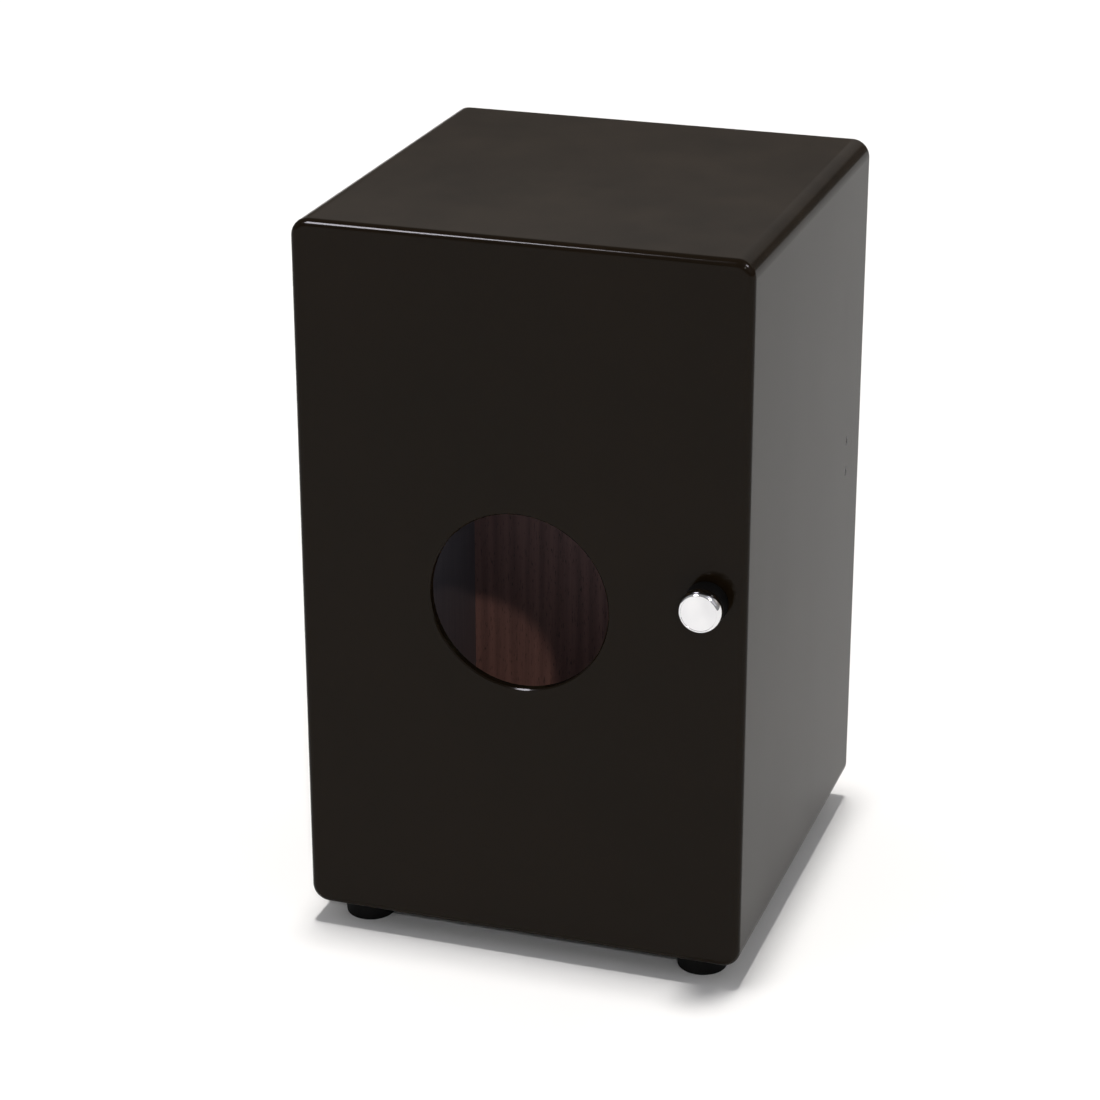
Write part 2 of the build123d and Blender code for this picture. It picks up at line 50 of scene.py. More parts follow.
# ---- places that the CAD gives ---------------------------------------------
SHELL_LOW = Vector((
    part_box("side_panel_left")[0].x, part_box("front_plate")[0].y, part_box("base_panel")[0].z
))
SHELL_HIGH = Vector((
    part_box("side_panel_right")[1].x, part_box("back_panel")[1].y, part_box("seat_panel")[1].z
))
SHELL_MIDDLE = (SHELL_LOW + SHELL_HIGH) / 2

# ---- camera -----------------------------------------------------------------
CAMERA_AZIMUTH = 198.67
CAMERA_ELEVATION = 22.24
CAMERA_ROLL = -0.096
CAMERA_DISTANCE = 2.103
CAMERA_ASIDE = -0.02766
CAMERA_UP = -0.0201
CAMERA_REACH = 200.0
FOCAL_PIXELS = 3099.7
FRAME_PIXELS = 1100
SENSOR_MM = 36.0

# ---- light --------------------------------------------------------------------
KEY_DIRECTION = (-0.357, 0.781, 0.512)
KEY_STRENGTH = 0.45
KEY_ANGLE = 1.5
OVERHEAD_DIRECTIONS = ((0.022, 0.018, 1.0), (0.002, -0.042, 1.0))
OVERHEAD_STRENGTH = 1.36
OVERHEAD_ANGLE = 4.8
OVERHEAD_COLOR = (1.0, 0.978, 0.955)
SUN_DISTANCE = 3.0
# name, place, target, width, height, watts; these show in reflections only
SOFTBOXES = (
    ("softbox_left", (1.46, 1.95, 3.10), (0.0, 0.14, 0.40), 0.8, 1.1, 170.0),
    ("softbox_right", (-1.60, 0.30, 2.40), (-0.12, 0.15, 0.45), 0.45, 0.45, 50.0),
    ("panel_right", (-1.75, 0.60, 2.00), (-0.12, 0.15, 0.27), 2.4, 2.4, 6.0),
)
SOFTBOX_COLOR = (0.94, 0.91, 1.0)
FILL_PLACE = (0.0, -0.02, 0.27)
FILL_WATTS = 0.36
FILL_RADIUS = 0.06
FILL_COLOR = (0.48, 0.74, 1.0)
ROOM_TONE = (0.30, 0.30, 0.305)
# how far the backdrop fades in towards -Y, and its tones by height, from the horizon up
BACKDROP_FADE = ((0.35, (0, 0, 0)), (0.75, (1, 1, 1)))
BACKDROP_TONES = (
    (0.0, (0.26, 0.24, 0.22)), (0.245, (0.21, 0.185, 0.165)), (0.29, (0.62, 0.57, 0.53)),
    (0.45, (0.66, 0.63, 0.60)), (0.65, (0.25, 0.25, 0.25)),
)
FLOOR_HALF_WIDTH = 60.0


# ---- node helpers ---------------------------------------------------------------
class Tree:
    """Short names for building one material's nodes."""

    def __init__(self, name):
        self.material = bpy.data.materials.new(name)
        self.material.use_nodes = True
        self.tree = self.material.node_tree
        self.tree.nodes.clear()
        self.output = self.node("ShaderNodeOutputMaterial")
        self.shader = self.node("ShaderNodeBsdfPrincipled")
        self.link(self.shader.outputs[0], self.output.inputs["Surface"])
        self.place = self.node("ShaderNodeTexCoord").outputs["Object"]

    def node(self, kind, **settings):
        made = self.tree.nodes.new(kind)
        for key, value in settings.items():
            setattr(made, key, value)
        return made

    def link(self, source, target):
        self.tree.links.new(source, target)

    def put(self, **values):
        """Sets the shader's inputs by short name and returns the finished material."""
        names = {
            "color": "Base Color", "rough": "Roughness", "metal": "Metallic", "ior": "IOR",
            "coat": "Coat Weight", "coat_rough": "Coat Roughness", "spec": "Specular IOR Level",
            "sheen": "Sheen Weight", "sheen_rough": "Sheen Roughness",
        }
        for key, value in values.items():
            socket = self.shader.inputs[names[key]]
            if hasattr(value, "is_output"):
                self.link(value, socket)
            elif key == "color":
                socket.default_value = (*value, 1.0)
            else:
                socket.default_value = value
        return self.material

    def scaled(self, x, y, z):
        mapping = self.node("ShaderNodeMapping")
        mapping.inputs["Scale"].default_value = (x, y, z)
        self.link(self.place, mapping.inputs["Vector"])
        return mapping.outputs[0]

    def noise(self, scale, detail=3.0, rough=0.5, place=None, distortion=0.0):
        made = self.node("ShaderNodeTexNoise")
        self.link(place or self.place, made.inputs["Vector"])
        made.inputs["Scale"].default_value = scale
        made.inputs["Detail"].default_value = detail
        made.inputs["Roughness"].default_value = rough
        made.inputs["Distortion"].default_value = distortion
        return made.outputs["Fac"]

    def voronoi(self, scale):
        made = self.node("ShaderNodeTexVoronoi")
        self.link(self.place, made.inputs["Vector"])
        made.inputs["Scale"].default_value = scale
        return made.outputs["Distance"]

    def ramp(self, factor, low, high, start=0.3, end=0.7):
        """Colours or numbers from low to high as factor goes from start to end."""
        made = self.node("ShaderNodeValToRGB")
        for element, at, value in zip(made.color_ramp.elements, (start, end), (low, high)):
            element.position = at
            color = value if isinstance(value, tuple) else (value, value, value)
            element.color = (*color, 1.0)
        self.link(factor, made.inputs["Fac"])
        return made.outputs["Color"]

    def math(self, operation, a, b):
        made = self.node("ShaderNodeMath", operation=operation)
        for socket, value in zip(made.inputs, (a, b)):
            if hasattr(value, "is_output"):
                self.link(value, socket)
            else:
                socket.default_value = value
        return made.outputs[0]

    def mix(self, factor, a, b):
        """Colour a where factor is 0, colour b where it is 1."""
        made = self.node("ShaderNodeMix", data_type="RGBA")
        for socket, value in ((made.inputs[0], factor), (made.inputs[6], a), (made.inputs[7], b)):
            if hasattr(value, "is_output"):
                self.link(value, socket)
            elif isinstance(value, tuple):
                socket.default_value = (*value, 1.0)
            else:
                socket.default_value = value
        return made.outputs[2]

    def bump(self, height, distance, strength=1.0, before=None):
        made = self.node("ShaderNodeBump")
        made.inputs["Distance"].default_value = distance
        made.inputs["Strength"].default_value = strength
        self.link(height, made.inputs["Height"])
        if before is not None:
            self.link(before, made.inputs["Normal"])
        self.link(made.outputs[0], self.shader.inputs["Normal"])
        return made.outputs[0]


# ---- materials --------------------------------------------------------------------
def gloss_lacquer(name, dark, light, cloud_scale):
    """Sprayed black lacquer: faint orange peel, a trace of dust, slightly uneven gloss."""
    t = Tree(name)
    cloud = t.noise(cloud_scale, detail=5.0, rough=0.62)
    tint = t.ramp(cloud, dark, light)
    speck = t.ramp(t.voronoi(420.0), 1.0, 0.0, start=0.02, end=0.045)
    patches = t.ramp(t.noise(23.0, detail=2.0), 0.0, 0.35, start=0.5, end=0.75)
    dusty = t.math("MULTIPLY", speck, patches)
    color = t.mix(dusty, tint, DUST_TONE)
    smear = t.noise(14.0, detail=5.0, rough=0.6, place=t.scaled(1.0, 1.0, 0.35), distortion=0.6)
    gloss = t.ramp(smear, 0.16, 0.22, start=0.35, end=0.7)
    peel = t.bump(t.noise(310.0, detail=2.0), 0.00006, strength=0.35)
    t.bump(t.noise(9.0, detail=2.0, rough=0.4), 0.0012, strength=0.06, before=peel)
    return t.put(color=color, rough=gloss, ior=1.06, coat=0.18, coat_rough=0.09)


def wood(name, dark, light, along, rough, coat=0.0, figure=1.0):
    """Straight-grained wood: growth bands, streaks, fibres and pores that run along one axis."""
    t = Tree(name)

    def lengthways(across, lengthwise):
        scale = [across] * 3
        scale[along] = lengthwise
        return t.scaled(*scale)

    def grain(across, lengthwise, detail, roughness, distortion=0.0):
        return t.noise(1.0, detail, roughness, lengthways(across, lengthwise), distortion)

    def part(source, share):
        return t.math("MULTIPLY", source, share)

    broad = t.ramp(grain(21.0, 1.6, 4.0, 0.6, 0.5 * figure), 0.0, 1.0, start=0.34, end=0.66)
    bands_axis = "XYZ"[(along + 1) % 3]
    bands = t.node("ShaderNodeTexWave", wave_type="BANDS", bands_direction=bands_axis)
    t.link(lengthways(1.0, 0.045), bands.inputs["Vector"])
    bands.inputs["Scale"].default_value = 26.0
    bands.inputs["Distortion"].default_value = 7.0 * figure
    bands.inputs["Detail"].default_value = 4.0
    bands.inputs["Detail Scale"].default_value = 1.3
    bands.inputs["Detail Roughness"].default_value = 0.62
    streaks = t.ramp(grain(230.0, 5.0, 5.0, 0.7, 0.3), 0.0, 1.0, start=0.36, end=0.64)
    fibres = grain(950.0, 16.0, 3.0, 0.65)
    pores = t.ramp(grain(1500.0, 190.0, 1.0, 0.5), 1.0, 0.0, start=0.27, end=0.36)
    share = t.math("ADD", part(broad, 0.36), part(bands.outputs["Fac"], 0.34))
    share = t.math("ADD", share, part(streaks, 0.30))
    base = t.ramp(share, dark, light, start=0.12, end=0.88)
    base = t.mix(part(t.ramp(fibres, 0.0, 1.0), 0.3), base, dark)
    base = t.mix(part(pores, 0.75), base, tuple(c * 0.3 for c in dark))
    relief = t.math("ADD", part(fibres, 0.5), part(pores, -0.8))
    t.bump(relief, 0.00012, strength=0.5)
    sheen = t.ramp(fibres, rough - 0.06, rough + 0.06)
    return t.put(color=base, rough=sheen, coat=coat, coat_rough=0.22)


def metal(name, color, rough, spread, brushed=(160.0, 160.0, 160.0)):
    """Plated or turned metal: uneven polish, with marks scaled along each axis by brushed."""
    t = Tree(name)
    marks = t.noise(1.0, detail=4.0, rough=0.6, place=t.scaled(*brushed))
    stain = t.noise(60.0)
    shade = t.ramp(stain, tuple(c * 0.86 for c in color), color)
    t.bump(marks, 0.00002, strength=0.4)
    return t.put(color=shade, rough=t.ramp(marks, rough, rough + spread), metal=1.0)


def chrome():
    """Polished chrome plate with a little haze and a faint waviness."""
    t = Tree("polished_chrome")
    haze = t.noise(220.0, rough=0.6)
    t.bump(t.noise(90.0, detail=2.0), 0.00001, strength=0.25)
    shade = t.ramp(t.noise(45.0, detail=2.0), (0.70, 0.70, 0.715), (0.80, 0.80, 0.81))
    return t.put(color=shade, rough=t.ramp(haze, 0.035, 0.09), metal=1.0)


def rubber():
    """Moulded black rubber with a fine mould texture and a little chalky bloom."""
    t = Tree("moulded_black_rubber")
    bloom = t.noise(55.0, detail=4.0, rough=0.6)
    color = t.ramp(bloom, (0.0022, 0.0020, 0.0018), (0.0052, 0.0049, 0.0047))
    t.bump(t.noise(900.0, detail=2.0, rough=0.6), 0.00008, strength=0.5)
    return t.put(color=color, rough=t.ramp(bloom, 0.6, 0.8), spec=0.1)


def plastic(name, color, rough, spec=0.5):
    """Moulded plastic with a fine grain in its gloss."""
    t = Tree(name)
    grain = t.noise(1400.0, detail=2.0)
    shade = t.ramp(t.noise(70.0), tuple(c * 0.85 for c in color), color)
    t.bump(grain, 0.00003, strength=0.4)
    return t.put(color=shade, rough=t.ramp(grain, rough - 0.04, rough + 0.06), spec=spec)


def felt():
    """Pressed wool felt: matted fibres, no weave."""
    t = Tree("pressed_felt")
    fibres = t.noise(2600.0, detail=4.0, rough=0.75, distortion=1.5)
    clumps = t.noise(330.0, rough=0.6)
    color = t.ramp(t.mix(0.5, fibres, clumps), (0.035, 0.035, 0.038), (0.14, 0.14, 0.15))
    t.bump(fibres, 0.0004, strength=0.8)
    return t.put(color=color, rough=0.95, sheen=0.5, sheen_rough=0.5)


def stained_inside():
    """Inner faces of the shell: ply with a dark brown stain, unpolished, grain standing up."""
    t = Tree("dark_stained_ply")
    fibres = t.noise(1.0, rough=0.6, place=t.scaled(700.0, 700.0, 14.0))
    cloud = t.noise(9.0)
    color = t.ramp(t.mix(0.4, fibres, cloud), (0.088, 0.057, 0.051), (0.139, 0.091, 0.082))
    t.bump(fibres, 0.0001, strength=0.4)
    return t.put(color=color, rough=0.62)


DUST_TONE = (0.05, 0.047, 0.043)
LACQUER = gloss_lacquer(
    "gloss_black_lacquer", dark=(0.0066, 0.0040, 0.0015), light=(0.0086, 0.0050, 0.0021),
    cloud_scale=7.0,
)
# The seat's lacquer is a lighter copy of the body lacquer with a coarser cloud: painted light, the
# top face made lighter than the sides.
LIT_SEAT_LACQUER = gloss_lacquer(
    "gloss_black_lacquer_seat_painted_lighter", dark=(0.0050, 0.0030, 0.0012), light=(0.0125, 0.0085, 0.0050),
    cloud_scale=19.0,
)
INSIDE = stained_inside()
VENEER_OUT = wood(
    "red_brown_veneer", dark=(0.022, 0.0055, 0.0030), light=(0.185, 0.050, 0.019),
    along=Z_AXIS, rough=0.38, coat=0.25, figure=1.5,
)
VENEER_IN = wood(
    "red_brown_ply_inside", dark=(0.160, 0.067, 0.050), light=(0.305, 0.131, 0.095),
    along=Z_AXIS, rough=0.6,
)
HARDWOOD = wood(
    "planed_beech", dark=(0.33, 0.19, 0.095), light=(0.56, 0.37, 0.21),
    along=X_AXIS, rough=0.55, figure=0.6,
)
BATTEN_WOOD = wood(
    "spruce_batten", dark=(0.42, 0.26, 0.12), light=(0.66, 0.47, 0.27),
    along=Y_AXIS, rough=0.6, figure=0.5,
)
ZINC = metal("zinc_plated_steel", (0.62, 0.62, 0.60), rough=0.26, spread=0.16)
ROD_STEEL = metal(
    "drawn_steel_rod", (0.58, 0.58, 0.57), rough=0.22, spread=0.14, brushed=(900.0, 25.0, 900.0)
)
BLACK_STEEL = metal("black_oxide_steel", (0.045, 0.043, 0.042), rough=0.38, spread=0.18)
SNARE_STEEL = metal("nickel_plated_wire", (0.66, 0.65, 0.62), rough=0.2, spread=0.12)
BRASS = metal("turned_brass", (0.72, 0.50, 0.22), rough=0.22, spread=0.14)
CHROME = chrome()
RUBBER = rubber()
BLACK_PLASTIC = plastic("black_plastic", (0.0030, 0.0028, 0.0027), rough=0.45, spec=0.06)
NYLON = plastic("natural_nylon", (0.72, 0.70, 0.63), rough=0.45)
FELT = felt()


# ---- materials onto the CAD nodes ----------------------------------------------------
FACE_TOLERANCE = 0.2 * MM
SQUARE_ON = 0.9
FLAT_FRONT = 0.995
CAD_SHARP_ANGLE = 32


def smooth(mesh, degrees):
    mesh.shade_smooth()
    mesh.set_sharp_from_angle(angle=math.radians(degrees))


def dress(node, *materials, pick=None):
    """Gives a CAD node its materials; pick(centre, normal) chooses the slot of each face."""
    mesh = NODES[node].data
    mesh.materials.clear()
    for material in materials:
        mesh.materials.append(material)
    for polygon in mesh.polygons:
        polygon.material_index = pick(polygon.center, polygon.normal) if pick else 0
    smooth(mesh, CAD_SHARP_ANGLE)


def inner_face(node, axis, side):
    """Slot 1 for the face of a panel that looks into the box, slot 0 for the rest.

    side is 1 for a panel on the high side of the axis and -1 for one on the low side.
    """
    low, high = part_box(node)
    wall = low[axis] if side > 0 else high[axis]

    def pick(centre, normal):
        on_wall = abs(centre[axis] - wall) < FACE_TOLERANCE
        return 1 if on_wall and normal[axis] * side < -SQUARE_ON else 0

    return pick


def front_plate_faces():
    """Slot 1 for the inner face, slot 2 for the struck face, slot 0 for the rounded rim."""
    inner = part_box("front_plate")[1].y

    def pick(centre, normal):
        if abs(centre.y - inner) < FACE_TOLERANCE and normal.y > SQUARE_ON:
            return 1
        return 2 if normal.y < -FLAT_FRONT else 0

    return pick


dress("side_panel_left", LACQUER, INSIDE, pick=inner_face("side_panel_left", X_AXIS, -1))
dress("side_panel_right", LACQUER, INSIDE, pick=inner_face("side_panel_right", X_AXIS, 1))
# the seat takes the lighter lacquer copy: painted light on the top face
dress("seat_panel", LIT_SEAT_LACQUER, INSIDE, pick=inner_face("seat_panel", Z_AXIS, 1))
dress("base_panel", LACQUER, INSIDE, pick=inner_face("base_panel", Z_AXIS, -1))
dress("back_panel", LACQUER, INSIDE, pick=inner_face("back_panel", Y_AXIS, 1))
dress("front_plate", LACQUER, VENEER_IN, VENEER_OUT, pick=front_plate_faces())
PLAIN = {
    "front_plate_screws": BLACK_STEEL, "rail_screws_left": BLACK_STEEL,
    "rail_screws_right": BLACK_STEEL, "knob_grub_screw": BLACK_STEEL,
    "collar_grub_screw": BLACK_STEEL,
    "glue_batten_top_left": BATTEN_WOOD, "glue_batten_top_right": BATTEN_WOOD,
    "glue_batten_bottom_left": BATTEN_WOOD, "glue_batten_bottom_right": BATTEN_WOOD,
    "foot_front_left": RUBBER, "foot_back_left": RUBBER, "foot_front_right": RUBBER,
    "foot_back_right": RUBBER, "foot_washers": ZINC, "foot_screws": ZINC,
    "snare_rail": HARDWOOD, "rocker_bar": HARDWOOD, "snare_block": HARDWOOD,
    "rail_bushing": BRASS, "rod_bushing": BRASS, "bushing_nut": BRASS, "bushing_washer": ZINC,
    "pivot_bracket_left": ZINC, "pivot_bracket_right": ZINC, "bracket_screws": ZINC,
    "pivot_pin_left": ZINC, "pivot_pin_right": ZINC, "pivot_washers": NYLON, "thrust_washer": NYLON,
    "knob_body": BLACK_PLASTIC, "knob_cap": CHROME, "adjuster_rod": ROD_STEEL, "rod_collar": ZINC,
    "trunnion_nut": ZINC, "snare_strip_left": SNARE_STEEL, "snare_strip_right": SNARE_STEEL,
    "snare_screws": ZINC, "felt_stop_strip": FELT,
}
for plain_node, plain_material in PLAIN.items():
    dress(plain_node, plain_material)


# ---- new pieces ---------------------------------------------------------------------
def piece_from(bm, name, material, body, slot_name, *nodes, degrees):
    """Turns a bmesh into a piece that rides on a body and stands for CAD nodes.

    Edges between faces that meet at more than the given degrees stay sharp.
    """
    bmesh.ops.recalc_face_normals(bm, faces=bm.faces)
    mesh = bpy.data.meshes.new(name)
    bm.to_mesh(mesh)
    bm.free()
    mesh.materials.append(material)
    smooth(mesh, degrees)
    piece = bpy.data.objects.new(name, mesh)
    bpy.context.scene.collection.objects.link(piece)
    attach(piece, body)
    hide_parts(*nodes)
    return piece


def clamped(value):
    return min(1.0, max(0.0, value))


def full_turn(steps):
    return [2 * math.pi * i / steps for i in range(steps)]


def ring(bm, centre, radius, steps, y):
    """Vertices on a circle about an axis along Y."""
    return [
        bm.verts.new((centre.x + radius * math.cos(a), y, centre.z + radius * math.sin(a)))
        for a in full_turn(steps)
    ]


def bridge(bm, first, second):
    """Faces between two rings of the same number of vertices."""
    count = len(first)
    for i in range(count):
        j = (i + 1) % count
        bm.faces.new((first[i], first[j], second[j], second[i]))


def capped_tube(bm, rings):
    for first, second in zip(rings, rings[1:]):
        bridge(bm, first, second)
    bm.faces.new(rings[0])
    bm.faces.new(rings[-1])


def lathe_y(bm, centre, profile, steps=128):
    """Revolves (radius, y) points about an axis along Y; both ends are closed at the axis."""
    rings = [ring(bm, centre, r, steps, y) for r, y in profile]
    for first, second in zip(rings, rings[1:]):
        bridge(bm, first, second)
    for end, (radius, y) in ((rings[0], profile[0]), (rings[-1], profile[-1])):
        tip = bm.verts.new((centre.x, y, centre.z))
        for i in range(steps):
            bm.faces.new((end[i], end[(i + 1) % steps], tip))


def arc(cx, cy, radius, start, end, steps):
    """Points of an arc in the (radius, y) plane, angles in degrees."""
    angles = [math.radians(start + (end - start) * i / steps) for i in range(steps + 1)]
    return [(cx + radius * math.cos(a), cy + radius * math.sin(a)) for a in angles]


def make_knob_cap():
    """Chrome cap: a domed face in a fine groove, and a long rounded shoulder down to the grip."""
    low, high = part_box("knob_cap")
    centre = (low + high) / 2
    radius = (high.x - low.x) / 2
    top = high.y
    lip_radius, lip_steps = 0.30 * MM, 5
    crest, shoulder_fall, shoulder_steps = radius - 2.2 * MM, 5.2 * MM, 19
    face, dome_foot, dome_rise, dome_steps = crest - 0.55 * MM, top - 0.32 * MM, 0.30 * MM, 14
    profile = [(radius - 2.0 * MM, low.y + 0.05 * MM)]
    profile += arc(radius - lip_radius, low.y + 0.35 * MM, lip_radius, -90, 0, lip_steps)
    for i in range(shoulder_steps + 1):
        a = math.radians(90 * i / shoulder_steps)
        y = top - shoulder_fall + shoulder_fall * math.sin(a)
        profile.append((crest + (radius - crest) * math.cos(a), y))
    profile += [(crest - 0.25 * MM, top - 0.02 * MM), (crest - 0.40 * MM, top - 0.30 * MM)]
    for i in range(1, dome_steps):
        share = i / dome_steps
        profile.append((face * (1 - share), dome_foot + dome_rise * math.sin(share * math.pi / 2)))
    bm = bmesh.new()
    lathe_y(bm, centre, profile)
    return piece_from(bm, "chrome_knob_cap", CHROME, "knob", "chrome", "knob_cap", degrees=50)


def make_threaded_rod():
    """Steel rod: right-handed thread from a tapered tip almost to the rail, then a plain shank."""
    low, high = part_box("adjuster_rod")
    centre = (low + high) / 2
    radius = (high.x - low.x) / 2
    pitch, depth = 1.0 * MM, 0.55 * MM
    root_flat, flank = 0.12, 0.74
    tip_length, tip_depth, run_out, chamfer = 1.2 * MM, 0.6 * MM, 1.5 * MM, 0.5 * MM
    thread_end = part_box("snare_rail")[0].y - 2.0 * MM
    per_pitch, steps = 8, 32
    rows = int((thread_end - low.y) / pitch * per_pitch)
    bm = bmesh.new()
    rings = []
    for row in range(rows + 1):
        y = low.y + row * pitch / per_pitch
        taper = clamped((y - low.y) / tip_length)
        fade = clamped((thread_end - y) / run_out)
        points = []
        for i, a in enumerate(full_turn(steps)):
            tooth = abs(((y / pitch + i / steps) % 1.0) * 2 - 1)
            cut = depth * (1 - clamped((tooth - root_flat) / flank)) * fade
            r = radius - cut - (1 - taper) * tip_depth
            spot = (centre.x + r * math.cos(a), y, centre.z + r * math.sin(a))
            points.append(bm.verts.new(spot))
        rings.append(points)
    shank = (
        (thread_end + 0.3 * MM, radius), (high.y - chamfer, radius), (high.y, radius - chamfer)
    )
    for y, r in shank:
        rings.append(ring(bm, centre, r, steps, y))
    capped_tube(bm, rings)
    return piece_from(
        bm, "threaded_adjuster_rod", ROD_STEEL, "knob", "zinc_steel", "adjuster_rod", degrees=40
    )


def tube_along(bm, points, radius, sides):
    """A closed tube round a list of points."""
    nearly_parallel = 0.05
    rings = []
    for i, point in enumerate(points):
        ahead = (points[min(i + 1, len(points) - 1)] - points[max(i - 1, 0)]).normalized()
        across = ahead.cross(Vector((0, 1, 0)))
        if across.length < nearly_parallel:
            across = ahead.cross(Vector((1, 0, 0)))
        across.normalize()
        other = ahead.cross(across)
        rings.append([
            bm.verts.new(point + across * radius * math.cos(a) + other * radius * math.sin(a))
            for a in full_turn(sides)
        ])
    capped_tube(bm, rings)


def rounded_plate(bm, low, high, bevel):
    """A box from corner to corner, with every edge rounded."""
    made = bmesh.ops.create_cube(bm, size=1.0)["verts"]
    for v in made:
        v.co = Vector((low[k] + (v.co[k] + 0.5) * (high[k] - low[k]) for k in range(3)))
    edges = list({e for v in made for e in v.link_edges})
    bmesh.ops.bevel(bm, geom=edges, offset=bevel, segments=2, affect="EDGES", profile=0.5)


def make_snare_strip(node, name, seed):
    """Coiled wires soldered between two plates; each leans and stretches a little on its own."""
    low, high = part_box(node)
    draw = random.Random(seed)
    coils, spacing, coil_radius, wire_radius = 6, 6.0 * MM, 1.0 * MM, 0.24 * MM
    steps_per_turn, wire_sides = 10, 5
    plate_front, plate_bevel = low.y + 1.6 * MM, 0.3 * MM
    lower_top, upper_foot = low.z + 12.5 * MM, high.z - 7 * MM
    start, end = low.z + 9.8 * MM, high.z - 1.2 * MM
    bm = bmesh.new()
    plates = (
        (Vector((low.x, plate_front, low.z)), Vector((high.x, high.y, lower_top))),
        (Vector((low.x + MM, plate_front, upper_foot)), Vector((high.x - MM, high.y, high.z))),
    )
    for corner_low, corner_high in plates:
        rounded_plate(bm, corner_low, corner_high, plate_bevel)
    middle = (low.x + high.x) / 2
    for i in range(coils):
        x = middle + (i - (coils - 1) / 2) * spacing
        turns = 74 + draw.randint(-2, 2)
        lean = draw.uniform(-0.35, 0.35) * MM
        r = coil_radius - wire_radius
        points = []
        for k in range(turns * steps_per_turn + 1):
            share = k / (turns * steps_per_turn)
            a = 2 * math.pi * k / steps_per_turn
            sway = math.sin(share * math.pi) * lean
            points.append(Vector((
                x + sway + r * math.cos(a),
                low.y + coil_radius + r * math.sin(a),
                start + share * (end - start),
            )))
        tube_along(bm, points, wire_radius, wire_sides)
        for z in (start + 1.2 * MM, end - 1.6 * MM):
            solder = bmesh.ops.create_uvsphere(bm, u_segments=12, v_segments=8, radius=1.0)
            size = Vector((1.5, 0.9, 1.9 + draw.uniform(-0.2, 0.3))) * MM
            for v in solder["verts"]:
                v.co = Vector((
                    x + v.co.x * size.x,
                    plate_front - 0.15 * MM + v.co.y * size.y,
                    z + v.co.z * size.z,
                ))
    return piece_from(bm, name, SNARE_STEEL, "rocker", "snare_steel", node, degrees=60)


def make_felt():
    """Soft strip: a rounded block with a lumpy surface; its glued face, at high Y, stays flat."""
    low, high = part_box("felt_stop_strip")
    longest_edge, lumps_per_metre, lump_height, lump_spread = 2.0 * MM, 420.0, 0.10 * MM, 0.4
    glued_depth, most_cuts = 0.2 * MM, 5
    bm = bmesh.new()
    rounded_plate(bm, low, high, 0.35 * MM)
    for _ in range(most_cuts):
        long_edges = [e for e in bm.edges if e.calc_length() > longest_edge]
        if not long_edges:
            break
        bmesh.ops.subdivide_edges(bm, edges=long_edges, cuts=1, use_grid_fill=True)
    middle = (low + high) / 2
    for v in bm.verts:
        if v.co.y < high.y - glued_depth:
            lump = noise.noise(v.co * lumps_per_metre) * lump_height
            outward = (v.co - middle).normalized()
            v.co += outward * lump * lump_spread + Vector((0, max(0.0, lump), 0))
    piece = piece_from(bm, "felt_stop", FELT, "box", "felt", "felt_stop_strip", degrees=60)
    return piece


make_knob_cap()
make_threaded_rod()
make_snare_strip("snare_strip_left", "snare_wires_left", 11)
make_snare_strip("snare_strip_right", "snare_wires_right", 12)
make_felt()


# ---- floor, world, lights, camera --------------------------------------------------------
def make_floor():
    """Matt white floor, wide enough to run to the horizon."""
    bm = bmesh.new()
    bmesh.ops.create_grid(bm, x_segments=8, y_segments=8, size=FLOOR_HALF_WIDTH)
    mesh = bpy.data.meshes.new("studio_floor")
    bm.to_mesh(mesh)
    bm.free()
    floor = bpy.data.objects.new("studio_floor", mesh)
    bpy.context.scene.collection.objects.link(floor)
    t = Tree("white_paper_floor")
    tone = t.ramp(t.noise(3.0), (0.88, 0.88, 0.88), (0.91, 0.91, 0.905))
    t.bump(t.noise(600.0, detail=2.0), 0.0002, strength=0.1)
    mesh.materials.append(t.put(color=tone, rough=0.9))


def set_stops(ramp, stops):
    while len(ramp.elements) < len(stops):
        ramp.elements.new(0.5)
    for element, (at, color) in zip(ramp.elements, stops):
        element.position = at
        element.color = (*color, 1.0)


def make_world():
    """A dim room with one broad pale backdrop beyond the playing side."""
    world = bpy.data.worlds.new("studio")
    bpy.context.scene.world = world
    world.use_nodes = True
    tree = world.node_tree
    tree.nodes.clear()
    place = tree.nodes.new("ShaderNodeTexCoord")
    split = tree.nodes.new("ShaderNodeSeparateXYZ")
    height = tree.nodes.new("ShaderNodeValToRGB")
    flip = tree.nodes.new("ShaderNodeMath")
    side = tree.nodes.new("ShaderNodeValToRGB")
    mix = tree.nodes.new("ShaderNodeMix")
    back = tree.nodes.new("ShaderNodeBackground")
    out = tree.nodes.new("ShaderNodeOutputWorld")
    tree.links.new(place.outputs["Generated"], split.inputs[0])
    tree.links.new(split.outputs["Z"], height.inputs["Fac"])
    set_stops(height.color_ramp, BACKDROP_TONES)
    flip.operation = "MULTIPLY"
    flip.inputs[1].default_value = -1.0
    tree.links.new(split.outputs["Y"], flip.inputs[0])
    tree.links.new(flip.outputs[0], side.inputs["Fac"])
    set_stops(side.color_ramp, BACKDROP_FADE)
    mix.data_type = "RGBA"
    tree.links.new(side.outputs["Color"], mix.inputs[0])
    mix.inputs[6].default_value = (*ROOM_TONE, 1.0)
    tree.links.new(height.outputs["Color"], mix.inputs[7])
    tree.links.new(mix.outputs[2], back.inputs["Color"])
    tree.links.new(back.outputs[0], out.inputs["Surface"])


def aim(thing, place, target):
    """Puts a lamp at place, shining towards target."""
    thing.location = place
    thing.rotation_mode = "QUATERNION"
    thing.rotation_quaternion = (Vector(target) - Vector(place)).to_track_quat("-Z", "Y")
    bpy.context.scene.collection.objects.link(thing)


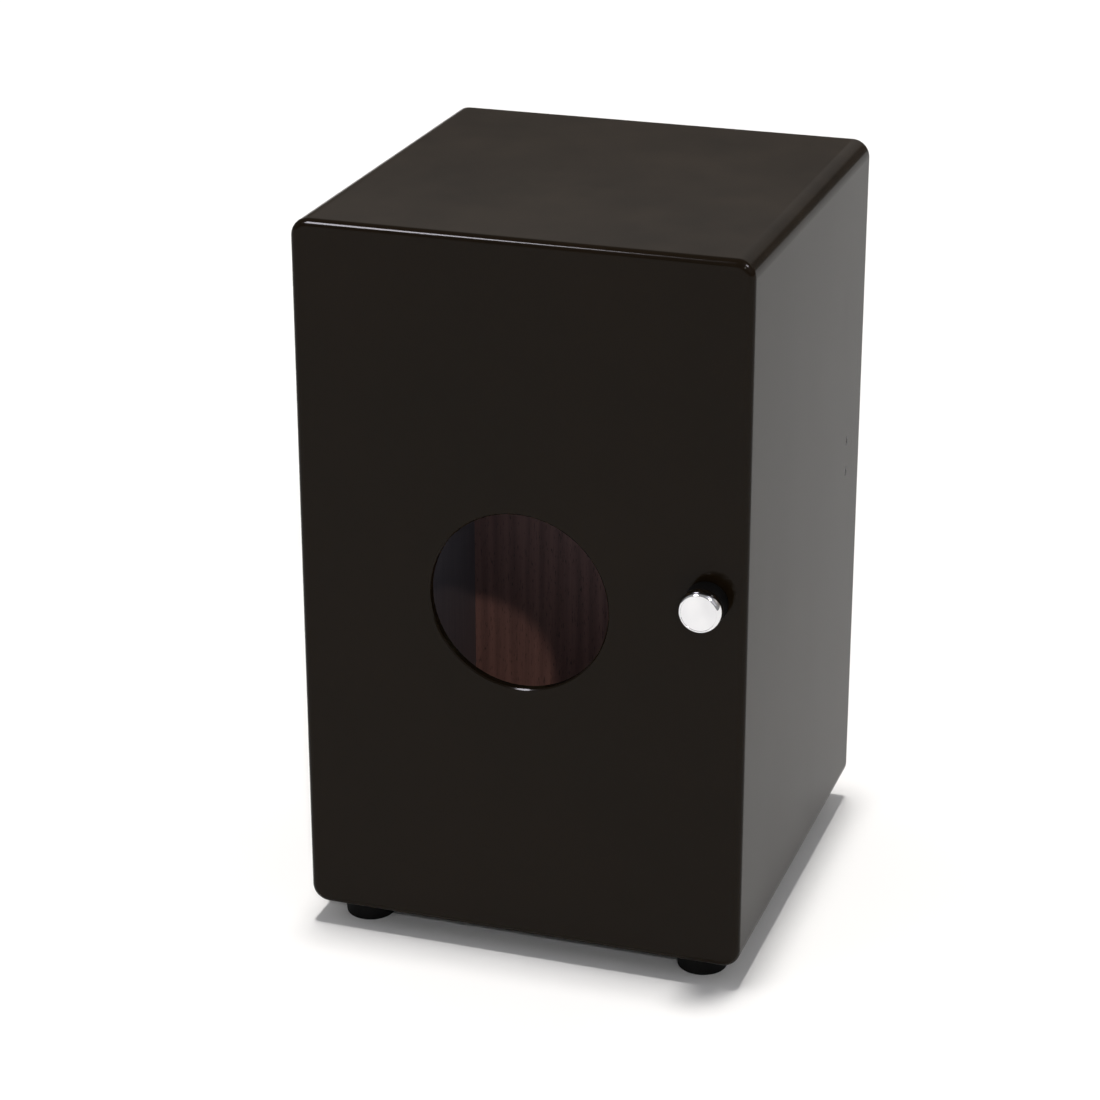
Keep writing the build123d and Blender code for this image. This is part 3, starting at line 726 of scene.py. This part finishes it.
def sun(name, direction, strength, angle, color=(1.0, 1.0, 1.0), in_reflections=True):
    light = bpy.data.lights.new(name, "SUN")
    light.energy, light.angle, light.color = strength, math.radians(angle), color
    lamp = bpy.data.objects.new(name, light)
    lamp.visible_glossy = in_reflections
    aim(lamp, Vector(direction) * SUN_DISTANCE, (0, 0, 0))


def make_lights():
    sun("key", KEY_DIRECTION, KEY_STRENGTH, KEY_ANGLE)
    for number, direction in enumerate(OVERHEAD_DIRECTIONS):
        sun(
            f"overhead_{number}", direction, OVERHEAD_STRENGTH, OVERHEAD_ANGLE, OVERHEAD_COLOR,
            in_reflections=False,
        )
    for name, place, target, width, height, watts in SOFTBOXES:
        soft = bpy.data.lights.new(name, "AREA")
        soft.shape, soft.size, soft.size_y, soft.energy = "RECTANGLE", width, height, watts
        soft.color = SOFTBOX_COLOR
        lamp = bpy.data.objects.new(name, soft)
        lamp.visible_diffuse = False
        aim(lamp, place, target)
    fill = bpy.data.lights.new("fill_inside", "POINT")
    fill.energy, fill.shadow_soft_size, fill.color = FILL_WATTS, FILL_RADIUS, FILL_COLOR
    lamp = bpy.data.objects.new("fill_inside", fill)
    lamp.visible_glossy = False
    aim(lamp, FILL_PLACE, (0, -1, 0))


def make_camera():
    """The photograph's viewpoint, round the middle of the shell."""
    azimuth, elevation = math.radians(CAMERA_AZIMUTH), math.radians(CAMERA_ELEVATION)
    roll = math.radians(CAMERA_ROLL)
    back = Vector((
        math.sin(azimuth) * math.cos(elevation),
        -math.cos(azimuth) * math.cos(elevation),
        math.sin(elevation),
    ))
    aside = Vector((0, 0, 1)).cross(back).normalized()
    up = back.cross(aside)
    turned_aside = aside * math.cos(roll) + up * math.sin(roll)
    turned_up = up * math.cos(roll) - aside * math.sin(roll)
    place = SHELL_MIDDLE + back * CAMERA_DISTANCE + turned_aside * CAMERA_ASIDE
    place += turned_up * CAMERA_UP
    lens = bpy.data.cameras.new("camera")
    lens.sensor_width = SENSOR_MM
    lens.lens = FOCAL_PIXELS * SENSOR_MM / FRAME_PIXELS
    lens.clip_end = CAMERA_REACH
    camera = bpy.data.objects.new("camera", lens)
    bpy.context.scene.collection.objects.link(camera)
    pose = Matrix((turned_aside, turned_up, back)).transposed().to_4x4()
    pose.translation = place
    camera.matrix_world = pose
    bpy.context.scene.camera = camera


make_floor()
make_world()
make_lights()
make_camera()
bpy.context.scene.view_settings.view_transform = "Standard"
